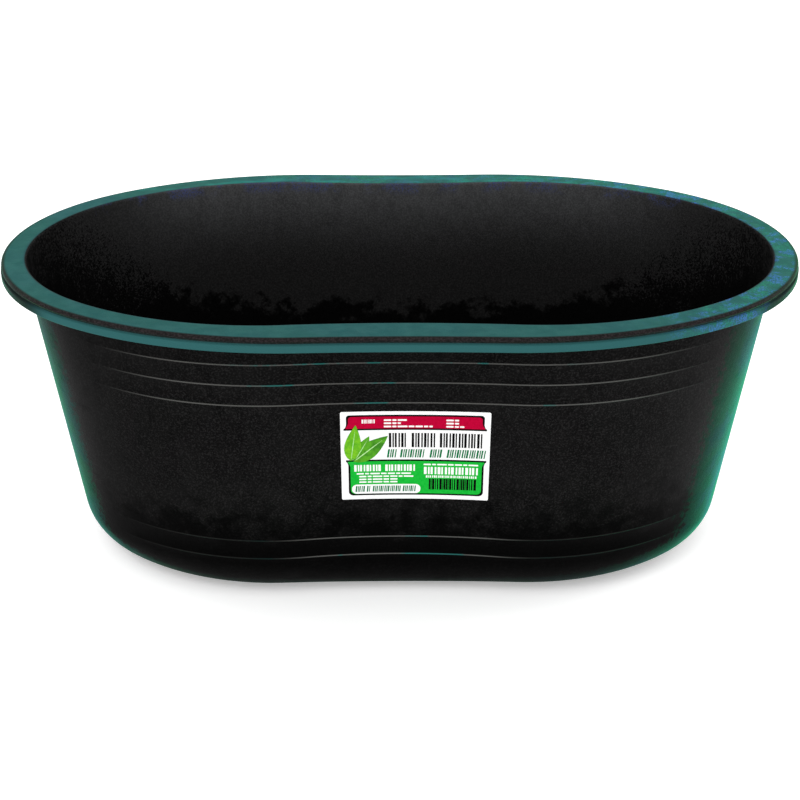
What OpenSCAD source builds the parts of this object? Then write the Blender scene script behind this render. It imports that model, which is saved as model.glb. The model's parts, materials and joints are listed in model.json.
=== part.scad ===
// Oval livestock water trough: a one-piece moulded plastic tank with a drain in its back wall.
// Millimetres. The long front wall, with the label, faces -Y. The underside lies on z = 0.

/* [Overall size] */
// Length over the rim
tank_l = 1030; // [960:5:1100]
// Width over the rim
tank_w = 640; // [600:5:680]
// Height from the ground to the top of the rim
tank_h = 405; // [385:5:425]

/* [Plan shape] */
// End radius as a share of the half width
tip_share = 0.916; // [0.88:0.004:0.94]
// Half length of the rim's drawn-in side, as a share of the half length
rim_side_share = 0.265; // [0.22:0.005:0.32]
// Half length of the wall's drawn-in side, as a share of the half length
wall_side_share = 0.343; // [0.3:0.001:0.36]
// How far the rim is drawn in at mid-length
rim_bow = 3; // [2:0.5:8]
// How far the wall is drawn in at mid-length, at the rim
top_bow = 7; // [4:0.5:10]
// How far the wall is drawn in at mid-length, low down
low_bow = 12.5; // [6:0.5:14]
// How far the foot is drawn in at mid-length
foot_bow = 2; // [1:0.5:5]

/* [Wall] */
// Wall thickness
wall_t = 5; // [4:0.5:7]
// Floor thickness
floor_t = 6; // [4:0.5:8]
// Lean of the wall from the vertical, in degrees
taper = 8.4; // [7.5:0.1:9.5]
// Outer radius between the wall and the floor
corner_r = 60; // [45:1:64]
// How far the middle of the floor dishes below its edge
floor_dish = 1; // [0.5:0.1:1.5]

/* [Rim] */
// Width of the rim's top face at the ends
rim_w_end = 32.5; // [30:0.5:36]
// Width of the rim's top face along the sides
rim_w_side = 43.5; // [40:0.5:46]
// Depth of the rim, from its top face to the lower edge of its skirt
rim_h = 18; // [17:0.5:22]
// Thickness of the rim's top plate and of its skirt
rim_t = 7; // [6:0.5:8]
// Height of the groove under the top face
groove_h = 7; // [6:0.5:8]
// Depth of the groove
groove_d = 3; // [1:0.5:3.5]
// Radius of the top face's outer edge
rim_edge_r = 4; // [2:0.5:5]

/* [Ridges] */
// Heights of the ridges moulded round the wall
ridge_z = [68, 96, 297, 325, 353]; // [60:1:360]
// Width of a ridge
ridge_w = 3; // [2:0.5:5]
// How far a ridge stands out
ridge_h = 0.9; // [0.4:0.1:1.5]

/* [Label] */
// Width of the label
label_w = 180; // [120:1:190]
// Height of the label, measured up the wall
label_h = 131; // [90:1:134]
// Sideways place of the label's centre
label_x = 17; // [-20:1:20]
// Height of the label's centre above the ground
label_z = 220; // [170:1:222]
// Radius of the label's corners
label_corner_r = 2; // [1:0.5:8]
// Thickness of the label film
label_t = 0.4; // [0.2:0.1:0.6]

/* [Drain] */
// Height of the drain's centre above the ground
drain_z = 72; // [70:1:90]
// Radius of the hole through the wall
drain_hole_r = 19.5; // [19.5:0.1:20]
// Radius of the fitting's sleeve
sleeve_r = 19.2; // [18:0.1:19.2]
// Radius of the plug's bore
plug_bore_r = 13; // [11:0.5:14]
// Advance of the plug's thread in one turn
thread_pitch = 3; // [2:0.1:3]
// Turns that unscrew the plug
plug_turns = 4; // [3:0.5:4]

/* [Hidden] */

BLACK = [0.09, 0.09, 0.095];
TEAL = [0.2, 0.4, 0.4];
fine = 96;                // facets of a full circle, drawn as a true curve

// Points along each arc of a quarter of the plan
bow_steps = 6;
side_steps = 8;
tip_steps = 8;
corner_steps = 6;
// Heights of the inner wall's own rings, as shares of the tank's height
inner_stations = [0.8, 0.55, 0.3];

// The opening, which is the inner wall's outline at the rim's height
open_l = tank_l - 2 * rim_w_end;
open_w = tank_w - 2 * rim_w_side;
lean = tan(taper);
mouth_r = 3;              // rounding of the mouth's edge
lip_h = rim_h - groove_h; // lower band of the rim
lip_edge = 2;             // bevel of the lip's lower edge
top_set = 1;              // the top face's edge stands this far inside the lip
dish_run = 60;            // width of the slope round the dished floor

// Drain stack, measured outward from the wall's outer face along the drain's axis
pad_r = 34;
pad_out = 2.5;
pad_in = 2;
gasket_t = 3;
flange_t = 6;
flange_af = 56;
washer_t = 2;
nut_t = 11;
nut_af = 50;
sleeve_past = 4;          // how far the sleeve stands past the locknut
seal_t = 2.5;
seal_w = 5.5;
cap_t = 4.5;
cap_r = 22;
plug_wall = 3;            // thickness of the hollow plug's wall
grip_l = 46;
grip_w = 9;
grip_h = 15;
gap = 0.3;                // clearance between pieces that move on each other
run = 0.05;               // radial clearance of threads, which are drawn plain
chamfer = 1;
flange_at = pad_out + gasket_t;
seat_at = flange_at + flange_t;
seal_at = seat_at + gap;
cap_at = seal_at + seal_t + gap;
washer_at = -(wall_t + pad_in + washer_t);
nut_at = washer_at - nut_t;
sleeve_end = nut_at - sleeve_past;
held = 2.4;               // shank still in the bore once the plug has made all its turns
shank_end = seat_at - plug_turns * thread_pitch - held;

// One quarter of the plan, from near mid-side to the tip: a drawn-in arc, a side arc and an end arc
// that run on smoothly from each other, all moved inward by inset. A bump stands out along the
// side and runs out before the ends.
function quarter(l, w, side_share, bow, inset, bump = 0) =
    let (
        b = w / 2,
        tip_r = tip_share * b,
        side = side_share * l / 2,
        reach = l / 2 - tip_r - side,
        side_r = (reach * reach + b * b - tip_r * tip_r) / (2 * (b - tip_r)),
        turn = 2 * atan(bow / side),
        bow_r = side / sin(turn) - side_r,
        bow_c = [0, bow - b - bow_r],
        side_c = [side, side_r - b],
        tip_c = [l / 2 - tip_r, 0],
        join = atan2(-side_c.y, reach)
    )
    concat(
        [for (i = [0 : bow_steps - 1])
            let (t = turn * (i + 0.5) / bow_steps)
            bow_c + (bow_r + inset - bump) * [sin(t), cos(t)]],
        [for (i = [0 : side_steps - 1])
            let (
                t = -90 - turn + (join + 90 + turn) * i / side_steps,
                r = side_r - inset + bump * min(1, 2 - 2 * i / side_steps)
            )
            side_c + r * [cos(t), sin(t)]],
        [for (i = [0 : tip_steps])
            let (t = join * (1 - i / tip_steps))
            tip_c + (tip_r - inset) * [cos(t), sin(t)]]
    );

// The whole outline at height z, anticlockwise from the middle of the front, where it has no point
function ring(q, z) =
    let (n = len(q) - 1)
    concat(
        [for (i = [0 : n - 1]) [q[i].x, q[i].y, z]],
        [for (i = [n : -1 : 0]) [q[i].x, -q[i].y, z]],
        [for (i = [0 : n - 1]) [-q[i].x, -q[i].y, z]],
        [for (i = [n : -1 : 0]) [-q[i].x, q[i].y, z]]
    );

// How far the wall is drawn in at mid-length at height z
function wall_bow(z) =
    lookup(z, [[0, foot_bow], [corner_r, low_bow], [tank_h, top_bow]]);

function inner_inset(z) = (tank_h - z) * lean;
function outer_inset(z) = inner_inset(z) - wall_t;
function wall_ring(z, inset, bump = 0) =
    ring(quarter(open_l, open_w, wall_side_share, wall_bow(z), inset, bump), z);
function rim_ring(z, inset) = ring(quarter(tank_l, tank_w, rim_side_share, rim_bow, inset), z);

// Rings of the shell, from the underside up the outside, over the rim and down to the floor
function corner_rings(angles, base, r, inside) =
    [for (t = angles)
        let (z = base + r * (1 - sin(t)))
        wall_ring(z, (inside ? inner_inset(z) : outer_inset(z)) + r * (1 - cos(t)))];
function ridge_rings() =
    [for (z = ridge_z, side = [-1, 0, 1])
        let (at = z + side * ridge_w / 2)
        wall_ring(at, outer_inset(at), side == 0 ? ridge_h : 0)];
function rim_rings() =
    let (top = tank_h, low = tank_h - rim_h, lip = low + lip_h, round = rim_edge_r)
    [
        wall_ring(top - rim_t, outer_inset(top - rim_t)),
        rim_ring(top - rim_t, groove_d + rim_t),
        rim_ring(low, rim_t),
        rim_ring(low, lip_edge),
        rim_ring(low + lip_edge, 0),
        rim_ring(lip - groove_d, 0),
        rim_ring(lip, groove_d),
        rim_ring(top - round, top_set),
        rim_ring(top - round * (1 - sin(45)), top_set + round * (1 - cos(45))),
        rim_ring(top, top_set + round),
        wall_ring(top, -mouth_r),
        wall_ring(top - mouth_r, inner_inset(top - mouth_r))
    ];
function inner_wall_rings() =
    [for (share = inner_stations) wall_ring(share * tank_h, inner_inset(share * tank_h))];

function floor_ring() =
    wall_ring(floor_t - floor_dish, inner_inset(floor_t) + corner_r - wall_t + dish_run);

step_angle = 90 / corner_steps;
shell_rings = concat(
    corner_rings([90 : -step_angle : 0], 0, corner_r, false),
    ridge_rings(),
    rim_rings(),
    inner_wall_rings(),
    corner_rings([0 : step_angle : 90], floor_t, corner_r - wall_t, true),
    [floor_ring()]
);

// Faces of a closed skin over a stack of rings of n points
function skin_faces(count, n) =
    concat(
        [[for (i = [0 : n - 1]) i]],
        [for (k = [0 : count - 2], i = [0 : n - 1])
            let (a = k * n + i, b = k * n + (i + 1) % n)
            each [[a, a + n, b + n], [a, b + n, b]]],
        [[for (i = [n - 1 : -1 : 0]) (count - 1) * n + i]]
    );

// Place of the front wall's outer face, lifted off it by lift
function front_y(x, z, lift) =
    let (
        b = open_w / 2,
        bow = wall_bow(z),
        side = wall_side_share * open_l / 2,
        tip_r = tip_share * b,
        reach = open_l / 2 - tip_r - side,
        side_r = (reach * reach + b * b - tip_r * tip_r) / (2 * (b - tip_r)),
        bow_r = side / sin(2 * atan(bow / side)) - side_r,
        r = bow_r + outer_inset(z) - lift
    )
    bow - b - bow_r + sqrt(r * r - x * x);

drain_y = -front_y(0, drain_z, 0);

// Local +Z is the drain's axis, pointing out of the tank, with its zero on the wall's outer face
module at_drain() {
    translate([0, drain_y, drain_z]) rotate([-(90 + taper), 0, 0]) children();
}

// Ring of rectangular section, from height at upwards
module band(outer_r, inner_r, at, h) {
    translate([0, 0, at])
        difference() {
            cylinder(r = outer_r, h = h, $fn = fine);
            translate([0, 0, -1]) cylinder(r = inner_r, h = h + 2, $fn = fine);
        }
}

// Hexagon whose outer corners are bevelled by a cone at each face
module hex_block(across, h, bevel) {
    corner = across / sqrt(3);
    intersection() {
        cylinder(r = corner, h = h, $fn = 6);
        cylinder(r1 = corner - bevel + h, r2 = corner - bevel, h = h, $fn = fine);
        cylinder(r1 = corner - bevel, r2 = corner - bevel + h, h = h, $fn = fine);
    }
}

module rounded_rectangle(w, h, r) {
    square([w - 2 * r, h], center = true);
    square([w, h - 2 * r], center = true);
    for (x = [-1, 1], y = [-1, 1])
        translate([x * (w / 2 - r), y * (h / 2 - r)]) circle(r = r, $fn = fine);
}

// The moulded tank: floor, leaning walls with ridges, and a turned-down rim
module tank_shell() {
    color(BLACK)
        difference() {
            union() {
                polyhedron(
                    points = [for (r = shell_rings) each r],
                    faces = skin_faces(len(shell_rings), len(shell_rings[0]))
                );
                at_drain()
                    translate([0, 0, -wall_t - pad_in])
                        cylinder(r = pad_r, h = wall_t + pad_in + pad_out, $fn = fine);
            }
            at_drain()
                translate([0, 0, sleeve_end])
                    cylinder(r = drain_hole_r, h = seat_at - sleeve_end, $fn = fine);
        }
}

// The label film, laid along the curve of the front wall
module label_sheet() {
    columns = 12;
    rows = 4;
    tall = label_h * cos(taper);
    margin = 2;
    heights = [for (j = [0 : rows]) label_z + (j / rows - 0.5) * (tall + 2 * margin)];
    widths = [for (i = [0 : columns]) label_x + (i / columns - 0.5) * (label_w + 2 * margin)];
    loops = [for (z = heights) concat(
        [for (x = widths) [x, front_y(x, z, gap + label_t), z]],
        [for (i = [columns : -1 : 0]) [widths[i], front_y(widths[i], z, gap), z]]
    )];
    color("white")
        intersection() {
            polyhedron(
                points = [for (l = loops) each l],
                faces = skin_faces(rows + 1, 2 * columns + 2)
            );
            translate([label_x, 0, label_z])
                rotate([90, 0, 0])
                    linear_extrude(tank_w / 2) rounded_rectangle(label_w, tall, label_corner_r);
        }
}

// Sleeve with a hexagonal flange that clamps the wall from outside
module drain_fitting() {
    color(BLACK)
        at_drain()
            difference() {
                union() {
                    translate([0, 0, flange_at]) hex_block(flange_af, flange_t, chamfer * 2);
                    translate([0, 0, sleeve_end + chamfer])
                        cylinder(r = sleeve_r, h = flange_at + chamfer - sleeve_end, $fn = fine);
                    translate([0, 0, sleeve_end])
                        cylinder(r1 = sleeve_r - chamfer, r2 = sleeve_r, h = chamfer, $fn = fine);
                }
                translate([0, 0, sleeve_end - 1])
                    cylinder(r = plug_bore_r, h = seat_at - sleeve_end + 2, $fn = fine);
            }
}

// Rubber ring between the fitting's flange and the wall
module flange_gasket() {
    color([0.12, 0.12, 0.12])
        at_drain() band(flange_af / 2 - 1, drain_hole_r, pad_out, gasket_t);
}

// Slippery plastic ring that lets the locknut turn on the wall's inner face
module slip_washer() {
    color("gainsboro")
        at_drain() band(flange_af / 2, drain_hole_r, washer_at, washer_t);
}

// Nut on the fitting's sleeve, inside the tank
module drain_locknut() {
    color([0.13, 0.13, 0.14])
        at_drain()
            translate([0, 0, nut_at])
                difference() {
                    hex_block(nut_af, nut_t, chamfer * 1.5);
                    translate([0, 0, -1]) cylinder(r = sleeve_r + run, h = nut_t + 2, $fn = fine);
                }
}

// Ring under the plug's cap, which seals on the fitting's flange
module plug_seal() {
    color([0.5, 0.12, 0.1])
        at_drain() band(plug_bore_r + seal_w, plug_bore_r + gap, seal_at, seal_t);
}

// Hollow threaded plug with a cap and a bar to turn it by hand
module drain_plug() {
    shank_r = plug_bore_r - run;
    color(TEAL)
        at_drain()
            difference() {
                union() {
                    translate([0, 0, shank_end + chamfer])
                        cylinder(r = shank_r, h = cap_at + chamfer - shank_end, $fn = fine);
                    translate([0, 0, shank_end])
                        cylinder(r1 = shank_r - chamfer, r2 = shank_r, h = chamfer, $fn = fine);
                    translate([0, 0, cap_at]) cylinder(r = cap_r, h = cap_t - chamfer, $fn = fine);
                    translate([0, 0, cap_at + cap_t - chamfer])
                        cylinder(r1 = cap_r, r2 = cap_r - chamfer, h = chamfer, $fn = fine);
                    translate([0, 0, cap_at + cap_t - chamfer]) {
                        translate([0, 0, (grip_h + chamfer) / 2])
                            cube([grip_l - grip_w, grip_w, grip_h + chamfer], center = true);
                        for (x = [-1, 1])
                            translate([x * (grip_l - grip_w) / 2, 0, 0])
                                cylinder(d = grip_w, h = grip_h + chamfer, $fn = fine);
                    }
                }
                translate([0, 0, shank_end - 1])
                    cylinder(r = shank_r - plug_wall, h = cap_at - shank_end, $fn = fine);
            }
}

tank_shell();
label_sheet();
drain_fitting();
flange_gasket();
slip_washer();
drain_locknut();
plug_seal();
drain_plug();
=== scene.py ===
"""Looks of the oval livestock water trough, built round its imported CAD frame. Metres."""

import json
import math
from functools import reduce

import bmesh
import bpy
from mathutils import Matrix, Vector


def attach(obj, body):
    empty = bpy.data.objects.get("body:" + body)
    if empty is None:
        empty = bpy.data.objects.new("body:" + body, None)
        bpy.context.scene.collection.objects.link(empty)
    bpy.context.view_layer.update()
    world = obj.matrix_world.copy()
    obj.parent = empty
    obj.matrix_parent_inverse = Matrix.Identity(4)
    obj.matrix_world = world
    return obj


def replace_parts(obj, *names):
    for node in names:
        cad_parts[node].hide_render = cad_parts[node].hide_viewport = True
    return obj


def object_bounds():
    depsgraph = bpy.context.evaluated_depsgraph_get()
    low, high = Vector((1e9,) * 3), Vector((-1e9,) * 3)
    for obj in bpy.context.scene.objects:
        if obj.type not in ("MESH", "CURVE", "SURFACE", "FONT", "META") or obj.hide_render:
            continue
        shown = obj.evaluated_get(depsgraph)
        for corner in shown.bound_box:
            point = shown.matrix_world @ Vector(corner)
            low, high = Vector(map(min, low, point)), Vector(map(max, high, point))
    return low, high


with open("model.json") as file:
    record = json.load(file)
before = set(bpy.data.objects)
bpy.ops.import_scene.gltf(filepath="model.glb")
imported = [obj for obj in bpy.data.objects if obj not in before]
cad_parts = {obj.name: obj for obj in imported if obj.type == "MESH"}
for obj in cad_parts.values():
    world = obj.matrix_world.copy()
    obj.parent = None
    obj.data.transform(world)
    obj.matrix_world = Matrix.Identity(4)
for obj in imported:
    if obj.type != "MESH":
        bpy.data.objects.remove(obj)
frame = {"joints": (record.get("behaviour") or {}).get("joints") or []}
cad_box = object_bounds()

MM = 0.001

# ---------------------------------------------------------------- sizes, as in the design
LOW, HIGH = cad_box
TANK_L = HIGH.x - LOW.x
TANK_W = 640 * MM
TANK_H = HIGH.z - LOW.z
TIP_SHARE = 0.916
RIM_SIDE_SHARE = 0.265
WALL_SIDE_SHARE = 0.343
RIM_BOW, TOP_BOW, LOW_BOW, FOOT_BOW = 3 * MM, 7 * MM, 12.5 * MM, 2 * MM
WALL_T, FLOOR_T, CORNER_R = 5 * MM, 6 * MM, 60 * MM
TAPER = math.radians(8.4)
OPEN_L = TANK_L - 2 * 32.5 * MM
OPEN_W = TANK_W - 2 * 43.5 * MM
RIM_H, RIM_T = 18 * MM, 7 * MM
GROOVE_H, GROOVE_D = 7 * MM, 3 * MM
TOP_SET, RIM_EDGE_R = 1 * MM, 4 * MM
RIDGES = [z * MM for z in (68, 96, 297, 325, 353)]
RIDGE_W, RIDGE_H = 3 * MM, 0.9 * MM
FLOOR_DISH, DISH_RUN = 1 * MM, 60 * MM
LABEL_W, LABEL_H, LABEL_X, LABEL_Z = 180 * MM, 131 * MM, 17 * MM, 220 * MM
PRINT_W, PRINT_H = 183, 133  # units in which the label's print is laid out
PRINT_STRIP = 8  # print is cut into strips this wide, to bend with the wall
SHARP = math.radians(38)  # edges sharper than this stay crisp


# ---------------------------------------------------------------- camera, floor and light
def make_camera():
    """Looks down at the front from the photograph's viewing angle."""
    pitch, yaw, distance = 0.437, 0.006, 2.098
    target = Vector((0, 0, 0.1804))
    ahead = Vector((math.sin(yaw) * math.cos(pitch), math.cos(yaw) * math.cos(pitch), -math.sin(pitch)))
    data = bpy.data.cameras.new("camera")
    data.sensor_width = 36
    data.lens = 68.93
    camera = bpy.data.objects.new("camera", data)
    camera.location = target - distance * ahead
    camera.rotation_euler = ahead.to_track_quat("-Z", "Y").to_euler()
    bpy.context.scene.collection.objects.link(camera)
    bpy.context.scene.camera = camera


def area_light(name, place, aim, size, power):
    data = bpy.data.lights.new(name, "AREA")
    data.shape = "RECTANGLE"
    data.size, data.size_y = size
    data.energy = power
    light = bpy.data.objects.new(name, data)
    light.location = place
    light.rotation_euler = (Vector(aim) - Vector(place)).to_track_quat("-Z", "Y").to_euler()
    bpy.context.scene.collection.objects.link(light)


def make_stage():
    """White surroundings, a pale paper floor and three soft lamps."""
    world = bpy.data.worlds.new("studio")
    world.use_nodes = True
    background = world.node_tree.nodes["Background"]
    background.inputs["Color"].default_value = (1, 1, 1, 1)
    background.inputs["Strength"].default_value = 1.15
    bpy.context.scene.world = world
    bpy.context.scene.view_settings.view_transform = "Standard"
    bpy.ops.mesh.primitive_plane_add(size=40, location=(0, 0, 0))
    floor = bpy.context.object
    floor.name = "floor"
    paper = bpy.data.materials.new("floor_paper")
    paper.use_nodes = True
    shader = paper.node_tree.nodes["Principled BSDF"]
    shader.inputs["Base Color"].default_value = (0.95, 0.95, 0.95, 1)
    shader.inputs["Roughness"].default_value = 0.9
    shader.inputs["Emission Color"].default_value = (1, 1, 1, 1)
    shader.inputs["Emission Strength"].default_value = 0.3
    floor.data.materials.append(paper)
    area_light("key", (-0.9, -2.2, 2.6), (0, 0.1, 0.3), (1.6, 1.2), 22)
    area_light("edge_right", (2.3, 0.6, 1.0), (0.4, 0, 0.2), (0.8, 1.6), 16)
    area_light("edge_left", (-2.3, 0.9, 1.0), (-0.4, 0, 0.2), (0.6, 1.4), 8)


# ---------------------------------------------------------------- material helpers
class Paint:
    """A node material: colour, roughness and bump are built up with short calls."""

    def __init__(self, name, roughness=0.5, specular=0.5):
        self.material = bpy.data.materials.new(name)
        self.material.use_nodes = True
        self.tree = self.material.node_tree
        self.shader = self.tree.nodes["Principled BSDF"]
        self.shader.inputs["Roughness"].default_value = roughness
        self.shader.inputs["Specular IOR Level"].default_value = specular
        self.place = self.node("ShaderNodeTexCoord").outputs["Object"]
        self.bump_out = None

    def node(self, kind, **settings):
        made = self.tree.nodes.new(kind)
        for key, value in settings.items():
            setattr(made, key, value)
        return made

    def feed(self, socket, value):
        """Links value to a socket, or sets it where it is a plain number or colour."""
        if isinstance(value, bpy.types.NodeSocket):
            self.tree.links.new(value, socket)
        elif isinstance(value, tuple):
            socket.default_value = (*value, 1)
        else:
            socket.default_value = value

    def stretched(self, scale):
        mapping = self.node("ShaderNodeMapping")
        self.feed(mapping.inputs["Vector"], self.place)
        mapping.inputs["Scale"].default_value = scale
        return mapping.outputs["Vector"]

    def noise(self, scale, detail, rough, stretch=None, distortion=0.0):
        made = self.node("ShaderNodeTexNoise")
        self.feed(made.inputs["Vector"], self.stretched(stretch) if stretch else self.place)
        made.inputs["Scale"].default_value = scale
        made.inputs["Detail"].default_value = detail
        made.inputs["Roughness"].default_value = rough
        made.inputs["Distortion"].default_value = distortion
        return made.outputs["Fac"]

    def dents(self, scale):
        """Soft round cells, as of a surface with shallow dents."""
        made = self.node("ShaderNodeTexVoronoi", feature="SMOOTH_F1")
        self.feed(made.inputs["Vector"], self.place)
        made.inputs["Scale"].default_value = scale
        return made.outputs["Distance"]

    def span(self, value, low, high, to_low=0.0, to_high=1.0):
        """value from low to high becomes to_low to to_high, held at the ends."""
        made = self.node("ShaderNodeMapRange", interpolation_type="SMOOTHSTEP")
        self.feed(made.inputs["Value"], value)
        made.inputs["From Min"].default_value = low
        made.inputs["From Max"].default_value = high
        made.inputs["To Min"].default_value = to_low
        made.inputs["To Max"].default_value = to_high
        return made.outputs["Result"]

    def cloud(self, scale, detail, rough, low=0.0, high=1.0, **more):
        """Soft noise, spread out to run from low to high."""
        return self.span(self.noise(scale, detail, rough, **more), 0.3, 0.7, low, high)

    def math(self, operation, a, b=0.0):
        made = self.node("ShaderNodeMath", operation=operation)
        self.feed(made.inputs[0], a)
        self.feed(made.inputs[1], b)
        return made.outputs["Value"]

    def plus(self, a, b):
        return self.math("ADD", a, b)

    def times(self, *factors):
        return reduce(lambda a, b: self.math("MULTIPLY", a, b), factors)

    def mix(self, share, a, b, kind="RGBA"):
        """a where share is 0 and b where it is 1, for colours, or with kind FLOAT for plain numbers."""
        made = self.node("ShaderNodeMix", data_type=kind)
        self.feed(made.inputs["Factor"], share)
        self.feed(made.inputs["A"], a)
        self.feed(made.inputs["B"], b)
        return made.outputs["Result"]

    def attribute(self, name):
        return self.node("ShaderNodeAttribute", attribute_name=name).outputs["Fac"]

    def along(self, axis):
        parts = self.node("ShaderNodeSeparateXYZ")
        self.feed(parts.inputs["Vector"], self.place)
        return parts.outputs[axis]

    def colour(self, value):
        self.feed(self.shader.inputs["Base Color"], value)

    def roughness(self, value):
        self.feed(self.shader.inputs["Roughness"], value)

    def bump(self, height, strength, distance):
        made = self.node("ShaderNodeBump")
        made.inputs["Strength"].default_value = strength
        made.inputs["Distance"].default_value = distance
        self.feed(made.inputs["Height"], height)
        if self.bump_out:
            self.feed(made.inputs["Normal"], self.bump_out)
        self.bump_out = made.outputs["Normal"]
        self.feed(self.shader.inputs["Normal"], self.bump_out)


def grey(value):
    return (value, value, value)


def lit_wall(p, wide):
    """Painted light: high up on the inside of the back wall, paler where light falls into the tank."""
    high = p.math("POWER", p.span(p.along("Z"), 0.25, 0.42), 2)
    back = p.span(p.along("Y"), 0.06, 0.22)
    middle = p.span(wide, 0.26, 0.43, 1, 0.15)
    return p.times(high, back, middle)


def deep_inside(p, wide):
    """Painted shade: where the inside keeps its full black behind a ragged edge, half way down, higher up at the
    ends.
    """
    edge, softness = 0.22, 0.011
    rag = p.cloud(38, 6, 0.72, -0.022, 0.022)
    dots = p.times(p.span(p.noise(330, 3, 0.75), 0.35, 0.65, -0.06, 0.06), p.span(wide, 0.3, 0.42))
    height = p.math("SUBTRACT", p.along("Z"), p.times(3.5, p.math("POWER", wide, 4)))
    below = p.span(p.plus(height, p.plus(rag, dots)), edge - softness, edge + softness, 1, 0)
    above_floor = p.span(p.along("Z"), 0.05, 0.19, 0.1, 1)
    return p.times(below, above_floor)


def edge_flecks(p):
    """Violet flecks just under the back of the mouth's edge."""
    under = p.times(p.span(p.along("Z"), 0.386, 0.4), p.span(p.along("Y"), 0.12, 0.22))
    patches = p.times(p.span(p.noise(22, 5, 0.65), 0.47, 0.58), p.span(p.noise(520, 3, 0.75), 0.46, 0.56))
    return p.times(under, patches, 0.6)


def far_from_light(p):
    """Low down and on the left, where the walls keep their full black in ragged patches."""
    rag = p.cloud(34, 6, 0.72, -0.035, 0.035)
    low = p.span(p.plus(p.along("Z"), rag), 0.09, 0.17, 0.9, 0)
    low = p.times(low, p.span(p.along("Z"), 0, 0.07, 0.4, 1))
    return p.math("MAXIMUM", low, p.span(p.along("X"), -0.42, -0.15, 0.35, 0))


def low_fade(p, wide):
    """The painted highlight on the lower ridges shows only in the drawn-in middle of the side."""
    upper = p.span(p.along("Z"), 0.15, 0.25)
    return p.math("MAXIMUM", upper, p.span(wide, 0.09, 0.17, 1, 0.12))


def outer_black(p, dots, streak):
    """The outside: clouded, streaked and speckled, with painted shade low down and on the left."""
    black = p.mix(p.cloud(9, 5, 0.6), grey(0.0013), grey(0.0034))
    black = p.mix(p.times(streak, 0.4), black, (0.0075, 0.0073, 0.0073))
    black = p.mix(p.times(dots, 0.6), black, (0.019, 0.0185, 0.0185))
    return p.mix(far_from_light(p), black, grey(0.0003))


def inner_black(p, wide, speckle):
    """The inside: a paler grey black where painted light reaches it, with painted shade in full black behind a
    ragged edge.
    """
    painted_light_grey = p.mix(speckle, grey(0.0075), (0.0145, 0.0142, 0.0142))
    deep = p.mix(speckle, grey(0.0008), grey(0.0022))
    return p.mix(deep_inside(p, wide), painted_light_grey, deep)


def ridge_highlight(p, wide):
    """Painted highlight along the ridge crests: pale grey, blue-green for short stretches near the middle."""
    highlight_teal = p.times(p.span(p.noise(13, 4, 0.6), 0.52, 0.57), p.span(wide, 0.14, 0.22, 1, 0))
    return p.mix(highlight_teal, (0.07, 0.07, 0.066), (0.018, 0.105, 0.095))


def mottled_teal(p):
    """The rim's blue-green, a painted highlight where the rim is lit: darker on top than on the lip, flecked
    with green and blue at the back and right.
    """
    top = p.mix(p.span(p.noise(55, 4, 0.6), 0.35, 0.7), (0.014, 0.066, 0.067), (0.02, 0.082, 0.081))
    teal = p.mix(p.span(p.along("Z"), 0.397, 0.399), (0.022, 0.088, 0.09), top)
    far = p.span(p.plus(p.along("Y"), p.times(p.along("X"), 1.1)), 0.0, 0.2)
    fleck = p.span(p.noise(520, 3, 0.75), 0.45, 0.55)
    green = p.span(p.noise(24, 5, 0.65), 0.45, 0.6, 0.05, 0.7)
    teal = p.mix(p.times(green, fleck, far), teal, (0.018, 0.2, 0.12))
    blue = p.span(p.noise(42, 5, 0.65), 0.48, 0.58, 0.0, 0.85)
    right = p.span(p.along("X"), 0.05, 0.4, 0.25, 1)
    teal = p.mix(p.times(blue, fleck, right, far), teal, (0.045, 0.12, 0.38))
    # Painted highlight: bright green streaks along the back of the rim.
    streaks = p.span(p.noise(34, 5, 0.65, stretch=(0.5, 2, 1)), 0.48, 0.6)
    back = p.span(p.along("Y"), 0.2, 0.26)
    return p.mix(p.times(streaks, back, 0.3), teal, (0.012, 0.24, 0.2))


def grazing_tint(p):
    """The wall's bloom: blue-green right at the turn of the wall, grey before it. Wider on the right."""
    facing = p.node("ShaderNodeLayerWeight")
    facing.inputs["Blend"].default_value = 0.5
    ragged = p.plus(facing.outputs["Facing"], p.cloud(160, 4, 0.7, -0.06, 0.06))
    past = p.math("SUBTRACT", ragged, p.span(p.along("X"), -0.3, 0.4, 0.69, 0.56))
    green = p.mix(p.span(p.noise(11, 5, 0.65), 0.46, 0.62), (0.02, 0.8, 0.42), (0.05, 0.72, 0.6))
    shown = p.times(p.span(p.along("Z"), 0.05, 0.2), p.span(p.along("X"), -0.35, 0.1, 0.5, 1))
    dull = p.mix(shown, grey(0.08), grey(0.5))
    return p.mix(p.span(past, -0.03, 0.03), dull, green)


def add_bloom(p, wide, inside):
    """A sheen outside only: strongest on the right, weak at mid-length and close to the ground."""
    on_rim = p.span(p.along("Z"), 0.386, 0.388)
    off_ground = p.span(p.along("Z"), 0.015, 0.06, 0.3, 1)
    under_rim = p.span(p.along("Z"), 0.24, 0.37, 1, 0.72)
    to_right = p.span(p.along("X"), 0, 0.42, 0.42, 0.95)
    to_ends = p.span(wide, 0.2, 0.4, 0.3, 1)
    on_wall = p.times(to_right, to_ends, off_ground, under_rim)
    bloom = p.mix(on_rim, on_wall, p.span(p.along("X"), 0.1, 0.42, 0.28, 0.5), "FLOAT")
    p.feed(p.shader.inputs["Sheen Weight"], p.times(bloom, p.span(inside, 0, 1, 1, 0)))
    p.shader.inputs["Sheen Roughness"].default_value = 0.28
    rim_tint = p.mix(p.span(p.noise(5, 4, 0.6), 0.42, 0.58), (0.02, 0.75, 0.3), (0.04, 0.6, 0.58))
    p.feed(p.shader.inputs["Sheen Tint"], p.mix(on_rim, grazing_tint(p), rim_tint))


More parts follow.
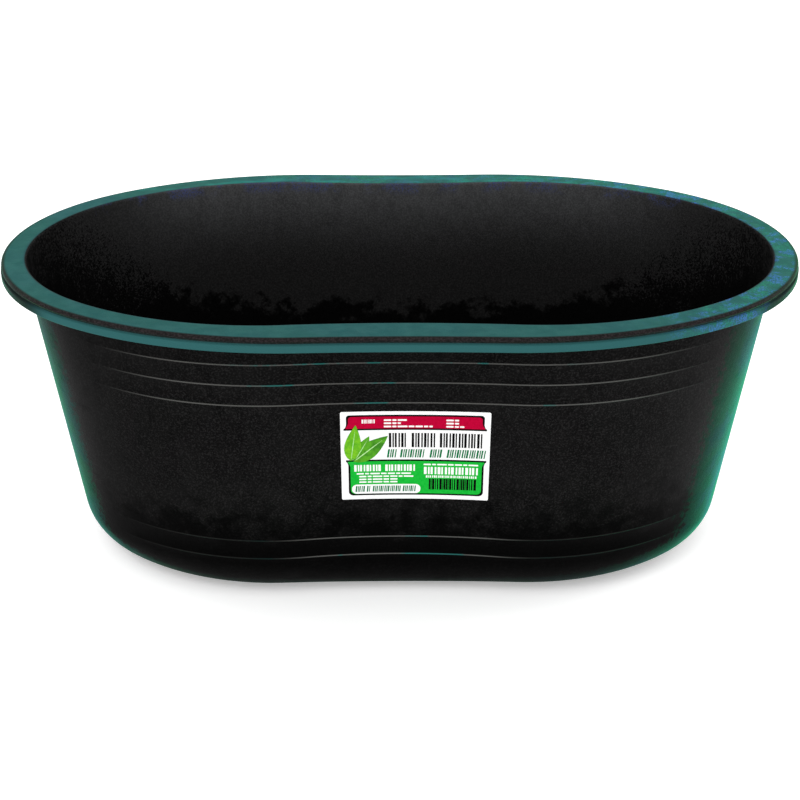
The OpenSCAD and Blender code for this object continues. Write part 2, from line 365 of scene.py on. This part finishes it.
def tank_plastic():
    """Black moulded polyethylene: clouded and speckled, with blue-green on the rim, ridges and edges: painted
    highlight on the rim and ridges, sheen at the edges. Painted light and shade inside, painted shade low down
    outside.
    """
    p = Paint("tank_plastic", 0.55, 0.012)
    wide = p.math("ABSOLUTE", p.along("X"))
    inside = p.attribute("inside")
    grain = p.noise(430, 3, 0.75)
    speckle = p.span(grain, 0.43, 0.62)
    streak = p.cloud(60, 5, 0.7, stretch=(1, 1, 0.55))

    colour = p.mix(inside, outer_black(p, p.span(grain, 0.48, 0.64), streak), inner_black(p, wide, speckle))
    # Painted light: the upper inside of the back wall turns a mottled pale grey.
    painted_light_mottle = p.plus(p.plus(p.times(speckle, 0.45), p.times(streak, 0.3)), 0.5)
    colour = p.mix(p.times(inside, lit_wall(p, wide), painted_light_mottle), colour, (0.056, 0.057, 0.059))
    colour = p.mix(p.times(inside, edge_flecks(p)), colour, (0.035, 0.05, 0.15))
    # Painted highlight on the ridge crests, fading out towards the ends.
    shown = p.times(p.span(wide, 0.25, 0.37, 1, 0), low_fade(p, wide))
    colour = p.mix(p.times(p.attribute("crest"), shown), colour, ridge_highlight(p, wide))
    # Painted shade: the groove under the rim's plate is grey, darker than the blue-green around it.
    colour = p.mix(p.attribute("groove"), colour, p.mix(speckle, (0.009, 0.008, 0.008), (0.024, 0.02, 0.021)))
    # Painted highlight: the rim's blue-green, faded out on the lip at the far ends.
    lip_ends = p.times(p.span(wide, 0.4, 0.465), p.span(p.along("Z"), 0.398, 0.4, 1, 0))
    tinted = p.times(p.attribute("teal"), p.span(lip_ends, 0, 1, 1, 0.05))
    p.colour(p.mix(tinted, colour, mottled_teal(p)))

    scuff = p.span(p.noise(26, 6, 0.65, stretch=(1, 1, 3)), 0.5, 0.8)
    p.roughness(p.plus(0.5, p.times(scuff, 0.2)))
    p.bump(p.noise(900, 3, 0.6), 0.25, 0.0004)
    p.bump(p.noise(140, 4, 0.55), 0.16, 0.0012)
    p.bump(p.dents(16), 0.05, 0.004)
    add_bloom(p, wide, inside)
    return p.material


def film(name, low, high, roughness=0.32, grain=0.15, specular=0.12, painted_light_grey=0.25):
    """Printed film or ink: a faint halftone mottle, dust specks and ripples."""
    p = Paint(name, roughness, specular)
    base = p.mix(p.cloud(300, 4, 0.6), low, high)
    dust = p.span(p.noise(1500, 2, 0.5), 0.68, 0.8, 0, 0.3 * painted_light_grey)
    p.colour(p.mix(dust, base, (0.4, 0.4, 0.38)))
    p.roughness(p.cloud(60, 3, 0.6, roughness - 0.06, roughness + 0.12))
    p.bump(p.noise(90, 3, 0.5), grain, 0.0006)
    return p.material


def ink(name, low, high):
    """Printed ink: nearly matte, with little dust on it."""
    return film(name, low, high, 0.45, 0.12, 0.02, 0.06)


def leaf_ink(name, dark, light):
    """Two greens that run into each other, as in a printed picture of leaves."""
    p = Paint(name, 0.35, 0.12)
    patches = p.span(p.noise(70, 5, 0.65, distortion=0.6), 0.35, 0.65)
    base = p.mix(patches, dark, light)
    p.colour(p.mix(p.span(p.noise(900, 3, 0.6), 0.5, 0.8, 0, 0.4), base, dark))
    p.bump(p.noise(90, 3, 0.5), 0.12, 0.0006)
    return p.material


def moulded(name, low, high, roughness=0.45, specular=0.3):
    """Small moulded plastic: clouded colour, fine pitting, handling scuffs."""
    p = Paint(name, roughness, specular)
    base = p.mix(p.cloud(90, 5, 0.6), low, high)
    scuff = p.span(p.noise(260, 6, 0.7, stretch=(1, 3, 1)), 0.62, 0.78)
    pale = tuple(min(1, 1.8 * c + 0.01) for c in high)
    p.colour(p.mix(p.times(scuff, 0.5), base, pale))
    p.roughness(p.cloud(150, 4, 0.6, roughness - 0.08, roughness + 0.12))
    p.bump(p.noise(1800, 3, 0.6), 0.2, 0.0002)
    p.bump(p.noise(300, 3, 0.5), 0.1, 0.0005)
    return p.material


def rubber(name, low, high):
    """Matte rubber with a fine grain and a dusty bloom."""
    p = Paint(name, 0.75, 0.25)
    p.colour(p.mix(p.span(p.noise(200, 5, 0.7), 0.35, 0.7), low, high))
    p.roughness(p.cloud(120, 4, 0.6, 0.66, 0.86))
    p.bump(p.noise(2600, 3, 0.6), 0.3, 0.00015)
    p.bump(p.noise(420, 3, 0.5), 0.12, 0.0004)
    return p.material


# ---------------------------------------------------------------- mesh helpers
def new_piece(name, verts, faces, material, body, slot):
    """A piece from points and faces, smooth but for its sharp edges."""
    mesh = bpy.data.meshes.new(name)
    mesh.from_pydata([tuple(v) for v in verts], [], faces)
    mesh.validate()
    return finish_piece(name, mesh, material, body)


def finish_piece(name, mesh, material, body):
    shade(mesh)
    mesh.materials.clear()
    mesh.materials.append(material)
    piece = bpy.data.objects.new(name, mesh)
    bpy.context.scene.collection.objects.link(piece)
    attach(piece, body)
    return piece


def shade(mesh):
    bm = bmesh.new()
    bm.from_mesh(mesh)
    bmesh.ops.recalc_face_normals(bm, faces=bm.faces)
    for face in bm.faces:
        face.smooth = True
    for edge in bm.edges:
        edge.smooth = len(edge.link_faces) == 2 and edge.calc_face_angle(0) < SHARP
    bm.to_mesh(mesh)
    bm.free()


def skin(rings, closed_stack=False):
    """Points and faces of a skin over a stack of closed rings; flat caps unless the stack is closed."""
    n = len(rings[0])
    verts = [p for ring in rings for p in ring]
    count = len(rings)
    faces = []
    for k in range(count if closed_stack else count - 1):
        a, b = k * n, (k + 1) % count * n
        faces += [(a + i, a + (i + 1) % n, b + (i + 1) % n, b + i) for i in range(n)]
    if not closed_stack:
        faces.append(tuple(range(n - 1, -1, -1)))
        faces.append(tuple((count - 1) * n + i for i in range(n)))
    return verts, faces


# ---------------------------------------------------------------- the tank's plan and rings
BOW_STEPS, SIDE_STEPS, TIP_STEPS = 26, 44, 40


def arc_plan(length, width, side_share, bow):
    """Centres, radii and angles of a quarter outline's three arcs that run on from each other."""
    b = width / 2
    tip_r = TIP_SHARE * b
    side = side_share * length / 2
    reach = length / 2 - tip_r - side
    side_r = (reach**2 + b**2 - tip_r**2) / (2 * (b - tip_r))
    turn = 2 * math.atan(bow / side)
    bow_r = side / math.sin(turn) - side_r
    join = math.atan2(b - side_r, reach)
    return b, tip_r, side, side_r, turn, bow_r, join


def quarter(length, width, side_share, bow, inset, bump=0.0):
    """One quarter of the plan, from mid-side to the tip, moved inward by inset.

    A bump stands out along the sides and runs out before the ends.
    """
    b, tip_r, side, side_r, turn, bow_r, join = arc_plan(length, width, side_share, bow)
    points = []
    for i in range(BOW_STEPS):
        t = turn * i / BOW_STEPS
        r = bow_r + inset - bump
        points.append((r * math.sin(t), bow - b - bow_r + r * math.cos(t)))
    start = -math.pi / 2 - turn
    for i in range(SIDE_STEPS):
        t = start + (join - start) * i / SIDE_STEPS
        r = side_r - inset + bump * min(1, 2 - 2 * i / SIDE_STEPS)
        points.append((side + r * math.cos(t), side_r - b + r * math.sin(t)))
    for i in range(TIP_STEPS + 1):
        t = join * (1 - i / TIP_STEPS)
        points.append((length / 2 - tip_r + (tip_r - inset) * math.cos(t), (tip_r - inset) * math.sin(t)))
    return points


def whole(points, z):
    """The whole outline at height z, anticlockwise from mid-front."""
    n = len(points) - 1
    return (
        [(x, y, z) for x, y in points[:n]]
        + [(x, -y, z) for x, y in points[n:0:-1]]
        + [(-x, -y, z) for x, y in points[:n]]
        + [(-x, y, z) for x, y in points[n:0:-1]]
    )


def wall_bow(z):
    """How far the wall is drawn in at mid-length at height z."""
    if z < CORNER_R:
        return FOOT_BOW + (LOW_BOW - FOOT_BOW) * max(0, z) / CORNER_R
    return LOW_BOW + (TOP_BOW - LOW_BOW) * (z - CORNER_R) / (TANK_H - CORNER_R)


def inner_inset(z):
    return (TANK_H - z) * math.tan(TAPER)


def outer_inset(z):
    return inner_inset(z) - WALL_T


def wall_ring(z, inset, bump=0.0):
    return whole(quarter(OPEN_L, OPEN_W, WALL_SIDE_SHARE, wall_bow(z), inset, bump), z)


def rim_ring(z, inset):
    return whole(quarter(TANK_L, TANK_W, RIM_SIDE_SHARE, RIM_BOW, inset), z)


def front_y(x, z, lift=0.0):
    """Where the front wall's outer face is at x and z, lifted outward."""
    b, *_, bow_r, _ = arc_plan(OPEN_L, OPEN_W, WALL_SIDE_SHARE, wall_bow(z))
    r = bow_r + outer_inset(z) - lift
    return wall_bow(z) - b - bow_r + math.sqrt(r * r - x * x)


def corner_rings(steps, base, r, inset_of, upward):
    rings = []
    for i in range(steps + 1):
        t = math.pi / 2 * (1 - i / steps if upward else i / steps)
        z = base + r * (1 - math.sin(t))
        rings.append(wall_ring(z, inset_of(z) + r * (1 - math.cos(t))))
    return rings


def outer_wall_rings():
    """Up the outside with its ridges, each a rounded bead whose crest carries a painted highlight."""
    rings = []
    stations = [-1, -0.72, -0.45, -0.2, 0, 0.2, 0.45, 0.72, 1]
    fills = {RIDGES[0]: (82,), RIDGES[1]: (140, 190, 240, 270), RIDGES[4]: (370,)}
    for z in RIDGES:
        for s in stations:
            at = z + s * RIDGE_W / 2
            bump = RIDGE_H * math.cos(s * math.pi / 2) ** 1.5
            rings.append((wall_ring(at, outer_inset(at), bump), CREST if abs(s) < 0.5 else PLAIN))
        rings += [(wall_ring(f * MM, outer_inset(f * MM)), PLAIN) for f in fills.get(z, ())]
    return rings


def round_edge(centre, r, start, end, steps):
    """Points of a rounded edge in the rim's own section: (height, inset)."""
    return [
        (centre[0] + r * math.sin(math.radians(start + (end - start) * i / steps)),
         centre[1] - r * math.cos(math.radians(start + (end - start) * i / steps)))
        for i in range(steps + 1)
    ]


def rim_section():
    """(height, inset, teal) round the outside of the rim, from under the plate to the top face; teal is the
    share of the painted blue-green highlight.
    """
    low, lip = TANK_H - RIM_H, TANK_H - GROOVE_H
    section = [(TANK_H - RIM_T, GROOVE_D + RIM_T, 0.0)]
    section += [(low + 2 * MM, RIM_T + 0.2 * MM, 0.0), (low + 0.6 * MM, RIM_T - 0.5 * MM, 0.0)]
    section += [(low, RIM_T - 1.5 * MM, 0.0), (low, 3 * MM, 0.0)]
    bevel = round_edge((low + 2.2 * MM, 2.2 * MM), 2.2 * MM, -80, 0, 6)
    section += [(z, i, min(1.0, 0.3 * k)) for k, (z, i) in enumerate(bevel)]
    section += [(z, i, 1.0) for z, i in round_edge((lip - 3.2 * MM, 2 * MM), 2 * MM, 0, 62, 6)]
    section += [(lip - 0.9 * MM, GROOVE_D - 0.4 * MM, 1.0), (lip - 0.2 * MM, GROOVE_D, 0.5)]
    section += [(lip + 0.7 * MM, GROOVE_D + 0.1 * MM, 0.0), (lip + 1.5 * MM, GROOVE_D - 0.4 * MM, 0.0)]
    section += [(TANK_H - 4.6 * MM, TOP_SET + 0.5 * MM, 0.0)]
    edge = round_edge((TANK_H - RIM_EDGE_R, TOP_SET + RIM_EDGE_R), RIM_EDGE_R, 0, 90, 10)
    section += [(z, i, (0.15, 0.4)[k - 9] if k > 8 else 0.0) for k, (z, i) in enumerate(edge)]
    return section


TONES = ("teal", "crest", "inside", "groove")
PLAIN, CREST, INSIDE, TEAL = (0.0,) * 4, (0.0, 1.0, 0.0, 0.0), (0.0, 0.0, 1.0, 0.0), (1.0, 0.0, 0.0, 0.0)


def shell_rings():
    """Rings of the whole shell, each with its share of every tone."""
    rings = [(r, PLAIN) for r in corner_rings(18, 0, CORNER_R, outer_inset, True)]
    rings += outer_wall_rings()
    neck = TANK_H - RIM_T - 3 * MM
    rings += [(wall_ring(neck, outer_inset(neck)), PLAIN)]
    rings += [(wall_ring(TANK_H - RIM_T, outer_inset(TANK_H - RIM_T) - 2.5 * MM), PLAIN)]
    for z, inset, teal in rim_section():
        groove = 1.0 - teal if z > TANK_H - GROOVE_H - 1 * MM else 0.0
        rings.append((rim_ring(z, inset), (teal, 0.0, 0.0, groove)))
    rings += [(rim_ring(TANK_H, TOP_SET + 6.2 * MM), TEAL), (wall_ring(TANK_H, -6 * MM), TEAL)]
    mouth = round_edge((TANK_H - 3 * MM, -3 * MM), 3 * MM, 90, 180, 8)
    for k, (z, i) in enumerate(mouth):
        rings.append((wall_ring(z, i + inner_inset(z)), (max(0.0, 1 - 0.4 * k), 0.0, 1.0, 0.0)))
    for z in (395, 380, 350, 300, 250, 200, 150, 120, 90):
        rings.append((wall_ring(z * MM, inner_inset(z * MM)), INSIDE))
    rings += [(r, INSIDE) for r in corner_rings(18, FLOOR_T, CORNER_R - WALL_T, inner_inset, False)]
    edge = inner_inset(FLOOR_T) + CORNER_R - WALL_T
    rings.append((wall_ring(FLOOR_T - FLOOR_DISH, edge + DISH_RUN), INSIDE))
    return rings


# ---------------------------------------------------------------- the drain's own frame
TURN = next(j for j in frame["joints"] if j["name"] == "plug_turn")
DRAIN = Matrix.Translation(Vector(TURN["pos_m"])) @ Matrix.Rotation(-(math.pi / 2 + TAPER), 4, "X")
PITCH = 3 * MM
SEGMENTS = 128


def lathe_rings(profile, radius_of=None):
    """Rings round the drain's axis from (height, radius) pairs in millimetres."""
    rings = []
    for h, r in profile:
        ring = []
        for i in range(SEGMENTS):
            t = 2 * math.pi * i / SEGMENTS
            rr = r if radius_of is None else radius_of(t, r)
            ring.append(DRAIN @ Vector((rr * MM * math.cos(t), rr * MM * math.sin(t), h * MM)))
        rings.append(ring)
    return rings


def rounded_profile(h0, h1, r0, r1, edge, steps=4):
    """Closed section of a ring with rounded corners, as (height, radius) in millimetres."""
    points = []
    corners = [((h0 + edge, r0 + edge), 180), ((h0 + edge, r1 - edge), 270),
               ((h1 - edge, r1 - edge), 0), ((h1 - edge, r0 + edge), 90)]
    for (h, r), start in corners:
        for i in range(steps + 1):
            t = math.radians(start + 90 * i / steps)
            points.append((h + edge * math.sin(t), r + edge * math.cos(t)))
    return points


def hexagon(across, soft, core):
    """Radius of a hexagon with softened corners, that wide across its flats, outside a round core."""
    flat = across / 2
    corner = across / math.sqrt(3) - soft

    def radius(t, r):
        turn = (t + math.pi / 6) % (math.pi / 3) - math.pi / 6
        return r if r < core else min(flat / math.cos(turn), corner, r)
    return radius


def thread(radius, depth, start, length, width, steps=48):
    """A helical ridge on a cylinder, running out to nothing at both ends: points and faces."""
    turns = length / (PITCH / MM)
    count = int(turns * steps)
    rings = []
    for i in range(count + 1):
        t = 2 * math.pi * i / steps
        ease = min(1, i / (steps * 0.35), (count - i) / (steps * 0.35))
        tall = depth * ease + 0.02
        middle = start + (PITCH / MM) * i / steps
        section = [(-width / 2, -0.35), (-width * 0.2, tall), (width * 0.2, tall), (width / 2, -0.35)]
        rings.append([
            DRAIN @ Vector(((radius + out) * MM * math.cos(t), (radius + out) * MM * math.sin(t),
                            (middle + along) * MM))
            for along, out in section
        ])
    return skin(rings)


def join_meshes(parts):
    verts, faces = [], []
    for v, f in parts:
        faces += [tuple(i + len(verts) for i in face) for face in f]
        verts += list(v)
    return verts, faces


# ---------------------------------------------------------------- pieces
def apply_boolean(piece, tool, operation):
    modifier = piece.modifiers.new("cut", "BOOLEAN")
    modifier.operation = operation
    modifier.solver = "EXACT"
    modifier.object = tool
    result = bpy.data.meshes.new_from_object(piece.evaluated_get(bpy.context.evaluated_depsgraph_get()))
    piece.modifiers.clear()
    piece.data = result
    bpy.data.objects.remove(tool)


def loose_object(name, verts, faces):
    mesh = bpy.data.meshes.new(name)
    mesh.from_pydata([tuple(v) for v in verts], [], faces)
    bm = bmesh.new()
    bm.from_mesh(mesh)
    bmesh.ops.recalc_face_normals(bm, faces=bm.faces)
    bm.to_mesh(mesh)
    bm.free()
    made = bpy.data.objects.new(name, mesh)
    bpy.context.scene.collection.objects.link(made)
    return made


def make_tank():
    stack = shell_rings()
    verts, faces = skin([ring for ring, _ in stack])
    shell = loose_object("moulded_tank", verts, faces)
    n = len(stack[0][0])
    for k, name in enumerate(TONES):
        tone = shell.data.attributes.new(name, "FLOAT", "POINT")
        tone.data.foreach_set("value", [tones[k] for _, tones in stack for _ in range(n)])
    pad = [(-7, 0), (-7, 32.6), (-6.6, 33.5), (-5.8, 34), (1.4, 34), (2.1, 33.6), (2.5, 32.8), (2.5, 0)]
    pad = [(h, max(r, 0.01)) for h, r in pad]
    apply_boolean(shell, loose_object("pad", *skin(lathe_rings(pad))), "UNION")
    hole = [(-20, 19.5), (20, 19.5)]
    apply_boolean(shell, loose_object("hole", *skin(lathe_rings(hole))), "DIFFERENCE")
    mesh = shell.data
    bpy.data.objects.remove(shell)
    piece = finish_piece("moulded_tank", mesh, tank_plastic(), "tank")
    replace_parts(piece, "tank_shell")


def on_wall(u, v, lift):
    """A point of the label, u and v print units from its lower left corner, laid on the bowed wall."""
    x = LABEL_X + (u / PRINT_W - 0.5) * LABEL_W
    z = LABEL_Z + (v / PRINT_H - 0.5) * LABEL_H * math.cos(TAPER)
    return Vector((x, front_y(x, z, lift), z))


def printed(name, outlines, lift, thick, material):
    """Flat shapes in print units, cut into strips and bent onto the wall as thin solids."""
    bm = bmesh.new()
    for outline in outlines:
        bm.faces.new([bm.verts.new((u, v, 0)) for u, v in outline])
    for u in range(PRINT_STRIP, PRINT_W + PRINT_STRIP, PRINT_STRIP):
        geometry = bm.verts[:] + bm.edges[:] + bm.faces[:]
        bmesh.ops.bisect_plane(bm, geom=geometry, plane_co=(u, 0, 0), plane_no=(1, 0, 0))
    bmesh.ops.triangulate(bm, faces=bm.faces[:])
    top = bm.faces[:]
    made = bmesh.ops.extrude_face_region(bm, geom=top)
    for element in made["geom"]:
        if isinstance(element, bmesh.types.BMVert):
            element.co.z = 1
    for vert in bm.verts:
        vert.co = on_wall(vert.co.x, vert.co.y, lift + (thick if vert.co.z > 0.5 else 0))
    mesh = bpy.data.meshes.new(name)
    bm.to_mesh(mesh)
    bm.free()
    return finish_piece(name, mesh, material, "tank")


def corner(u, v, r, start, steps=6):
    return [(u + r * math.cos(math.radians(start + 90 * i / steps)),
             v + r * math.sin(math.radians(start + 90 * i / steps))) for i in range(steps + 1)]


def panel(u0, v0, u1, v1, r):
    """Rectangle with rounded corners, anticlockwise."""
    return (corner(u1 - r, v1 - r, r, 0) + corner(u0 + r, v1 - r, r, 90)
            + corner(u0 + r, v0 + r, r, 180) + corner(u1 - r, v0 + r, r, 270))


def flared(u0, u1, v_open, v_round, flare, r, inset=0.0):
    """Panel with two round corners on one side and flared feet on the other. v_open is the flared side."""
    up = 1 if v_round > v_open else -1
    u0, u1 = u0 + inset, u1 - inset
    v_open, v_round = v_open + up * inset, v_round - up * inset
    foot = [(u1 + flare, v_open), (u1 + flare, v_open + up * 2.2), (u1 + flare * 0.4, v_open + up * 4),
            (u1, v_open + up * 8)]
    rounded = [(u1 - r + r * math.cos(math.radians(a)), v_round - up * r + up * r * math.sin(math.radians(a)))
               for a in range(0, 91, 15)]
    right = foot + rounded
    return right + [(u0 + u1 - u, v) for u, v in reversed(right)]


def leaf(u, v, length, width, angle, steps=14):
    """A pointed leaf, its base at u, v."""
    turn = math.radians(angle)
    edge = []
    for side in (1, -1):
        for i in range(steps):
            s = i / steps if side == 1 else 1 - i / steps
            half = side * width / 2 * math.sin(math.pi * s ** 0.8) ** 0.85 * (1.15 - 0.3 * s)
            edge.append((u + s * length * math.cos(turn) - half * math.sin(turn),
                         v + s * length * math.sin(turn) + half * math.cos(turn)))
    return edge


def bars(rows):
    """Rounded bars in place of lines of print: (u0, u1, v, height)."""
    return [panel(u0, v, u1, v + h, min(h, u1 - u0) * 0.3) for u0, u1, v, h in rows]


def strokes(words, v, h, stroke, lean=0.0):
    """Uneven upright strokes in words, in place of large print: words are (u0, u1)."""
    shapes = []
    for u0, u1 in words:
        at, k = u0, 0
        while at + stroke < u1:
            wide = stroke * (1.25, 0.75, 1.0, 0.8)[k % 4]
            shapes.append([(at, v), (at + wide, v), (at + wide + lean, v + h), (at + lean, v + h)])
            at += wide + stroke * (0.6, 0.45, 0.85)[k % 3]
            k += 1
    return shapes


def dashes(u0, u1, v, h):
    """A line of small print as a row of short bars."""
    rows, at, k = [], u0, 0
    while at < u1 - 3:
        end = min(u1, at + (9, 5, 12, 7)[k % 4])
        rows.append((at, end, v, h))
        at, k = end + 1.4, k + 1
    return bars(rows)


def stripes(u0, u1, v0, v1):
    """Uneven stripes that encode nothing."""
    widths = [1.9, 1, 2.7, 1, 1.5, 3, 1.1, 2]
    at, k, shapes = u0, 0, []
    while at < u1 - 2:
        wide = widths[k % len(widths)]
        shapes.append([(at, v0), (at + wide, v0), (at + wide, v1), (at, v1)])
        at += wide + widths[(3 * k + 1) % len(widths)] * 0.5
        k += 1
    return shapes


def make_label():
    white = film("label_white", (0.74, 0.75, 0.74), (0.8, 0.8, 0.8))
    black = ink("ink_black", (0.0005, 0.0005, 0.0005), (0.002, 0.002, 0.002))
    red = ink("ink_red", (0.34, 0.0, 0.022), (0.42, 0.0, 0.03))
    green = ink("ink_green", (0.004, 0.34, 0.026), (0.01, 0.4, 0.036))
    deep = ink("ink_deep_green", (0.001, 0.11, 0.035), (0.003, 0.15, 0.05))
    step = 0.06 * MM
    sheet = panel(0, 0, PRINT_W, PRINT_H, 2)
    film_piece = printed("label_film", [sheet], 0.02 * MM, 0.4 * MM, white)
    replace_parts(film_piece, "label_sheet")
    base = 0.42 * MM
    band, field = (7, 175.5, 105.5, 128, 3.2, 4), (8.8, 176.4, 61, 6, 2.8, 6)
    printed("label_outlines", [flared(*band), flared(*field)], base, step, black)
    printed("label_red_band", [flared(*band, 2.5)], base + step, step, red)
    printed("label_green_panel", [flared(*field, 2.5)], base + step, step, green)
    title = strokes([(59, 84), (87, 118.5), (121.5, 175)], 79.5, 21.5, 2.4)
    printed("label_dark_strokes", title, base, step, black)
    tag = strokes([(56.5, 68), (72.5, 103.5), (109, 126), (130, 177.5)], 64, 12.5, 1.9, 1.6)
    printed("label_green_strokes", tag, base, step, deep)
    small = []
    for u0, u1, v, h in ((53, 81, 119, 2.4), (53, 73.7, 114.4, 2.4), (53, 112.5, 109.6, 2.4),
                         (129, 146, 119, 2.4), (129, 148, 114.4, 2.4), (129, 151, 109.6, 2.4),
                         (19, 90, 38.6, 2.2), (22, 90, 34.2, 2.2), (22, 74, 29.8, 2.2), (22, 72, 25.6, 2.2),
                         (102, 170, 52.4, 2.2)):
        small += dashes(u0, u1, v, h)
    large = strokes([(26, 44)], 115.8, 5.6, 1.5) + strokes([(105, 170)], 33.2, 3.4, 1.6)
    large += strokes([(16, 51.5), (54.5, 92)], 43.4, 9.8, 2.4) + strokes([(102.5, 171)], 38.6, 11, 2.7)
    pill = panel(12.8, 8.6, 98.3, 23, 6.5)
    printed("label_white_print", small + large + [pill], base + 2 * step, step, white)
    pill_words = strokes([(17, 29.5), (31, 36), (38.5, 74), (76, 93.5)], 11.6, 9, 1.5, 0.8)
    printed("label_pill_strokes", pill_words, base + 3 * step, step, deep)
    printed("label_stripes", stripes(108.7, 167.5, 14.7, 31.6), base + 2 * step, step, black)
    young = leaf_ink("leaf_ink_young", (0.06, 0.3, 0.004), (0.16, 0.44, 0.007))
    grown = leaf_ink("leaf_ink_grown", (0.024, 0.16, 0.003), (0.075, 0.31, 0.007))
    leaves = [(leaf(17, 61, 40, 15, 63), grown), (leaf(15.5, 58.5, 57, 23, 42), grown),
              (leaf(12, 60, 53.5, 20, 83), young)]
    for k, (shape, shade_of_green) in enumerate(leaves):
        printed(f"label_leaf_{k + 1}", [shape], base + (2 + 1.4 * k) * step, step, shade_of_green)
    veins = [leaf(18, 62, 34, 1, 63), leaf(16.5, 59.5, 49, 1.5, 42), leaf(12.3, 61, 46, 1, 83)]
    pale = ink("ink_pale", (0.3, 0.6, 0.2), (0.45, 0.72, 0.32))
    printed("label_leaf_veins", veins, base + 6.5 * step, step, pale)


def make_drain():
    fitting = moulded("fitting_plastic", (0.012, 0.012, 0.0125), (0.02, 0.02, 0.021))
    rings = [(-24, 13.6), (-24, 17.4), (-23.2, 18.2), (5.5, 18.2), (5.5, 29.5), (6, 31), (6.8, 32.4),
             (10.2, 32.4), (11, 31), (11.5, 29.5), (11.5, 14.2), (10.8, 13.1), (-0.2, 13.1), (-0.6, 13.6)]
    body = skin(lathe_rings(rings, hexagon(56, 1.2, 25)), closed_stack=True)
    outside = thread(18.2, 0.85, -23.4, 21, 2.6)
    piece = new_piece("bulkhead_fitting", *join_meshes([body, outside]), fitting, "tank", "fitting_plastic")
    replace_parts(piece, "drain_fitting")

    gasket = skin(lathe_rings(rounded_profile(2.5, 5.5, 19.6, 27, 0.8)), closed_stack=True)
    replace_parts(new_piece("flange_ring", *gasket, rubber("gasket_rubber", grey(0.012), grey(0.03)),
                          "tank", "gasket_rubber"), "flange_gasket")
    washer = skin(lathe_rings(rounded_profile(-9, -7, 19.6, 28, 0.4)), closed_stack=True)
    pale = moulded("washer_plastic", (0.5, 0.5, 0.47), (0.62, 0.62, 0.58), 0.35, 0.5)
    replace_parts(new_piece("nut_washer", *washer, pale, "tank", "washer_plastic"), "slip_washer")

    profile = [(-20, 19.9), (-20, 25), (-19.6, 27), (-18.6, 28.6), (-10.4, 28.6), (-9.4, 27), (-9, 25),
               (-9, 19.9), (-9.6, 19.25), (-19.4, 19.25)]
    nut = skin(lathe_rings(profile, hexagon(50, 1, 22)), closed_stack=True)
    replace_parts(new_piece("locknut", *nut, fitting, "tank", "fitting_plastic"), "drain_locknut")

    seal = skin(lathe_rings(rounded_profile(11.8, 14.3, 13.3, 18.5, 1.1, 6)), closed_stack=True)
    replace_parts(new_piece("seal_ring", *seal, rubber("seal_rubber", (0.16, 0.02, 0.015), (0.26, 0.045, 0.03)),
                          "seal", "seal_rubber"), "plug_seal")
    make_plug()


def stadium(h, long, wide, steps=20):
    """Closed ring with two straight sides and two round ends, round the drain's axis."""
    r = wide / 2
    ring = []
    for side in (1, -1):
        for i in range(steps + 1):
            t = math.radians(-90 + 180 * i / steps)
            ring.append((side * ((long - wide) / 2 + r * math.cos(t)), side * r * math.sin(t)))
    return [DRAIN @ Vector((x * MM, y * MM, h * MM)) for x, y in ring]


def make_plug():
    """Hollow threaded plug: fluted cap, core, thread and a bar to turn it by."""
    def flutes(t, r):
        return r - (0.55 * max(0, math.cos(18 * t)) ** 4 if r > 20 else 0)

    profile = [(-2.9, 9.6), (-2.9, 11.1), (-2.2, 11.8), (13.2, 11.8), (13.9, 12.3), (14.6, 12.9), (14.6, 20.6),
               (14.9, 21.6), (15.5, 22), (18, 22), (18.7, 21.6), (19.1, 20.6), (19.1, 0.05)]
    inside = [(12.2, 0.05), (12.2, 8.9), (11.5, 9.6)]
    core = skin(lathe_rings(profile + inside, flutes), closed_stack=True)
    ridge = thread(11.8, 1.1, -2.2, 14.4, 2.5)
    grip = []
    for h, out in ((18.8, 1.6), (19.4, 0.9), (20.4, 0.3), (22, 0), (30, -0.35), (32.2, -0.7), (33.2, -1.4),
                   (33.7, -2.3), (33.85, -3.4)):
        grip.append(stadium(h, 45.6 + out * 2 - 1.6, 8.8 + out * 2 - 1))
    bar = skin(grip)
    teal = moulded("plug_plastic", (0.014, 0.06, 0.058), (0.024, 0.09, 0.086), 0.4, 0.35)
    piece = new_piece("hand_plug", *join_meshes([core, ridge, bar]), teal, "plug", "plug_plastic")
    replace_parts(piece, "drain_plug")


make_camera()
make_stage()
make_tank()
make_label()
make_drain()
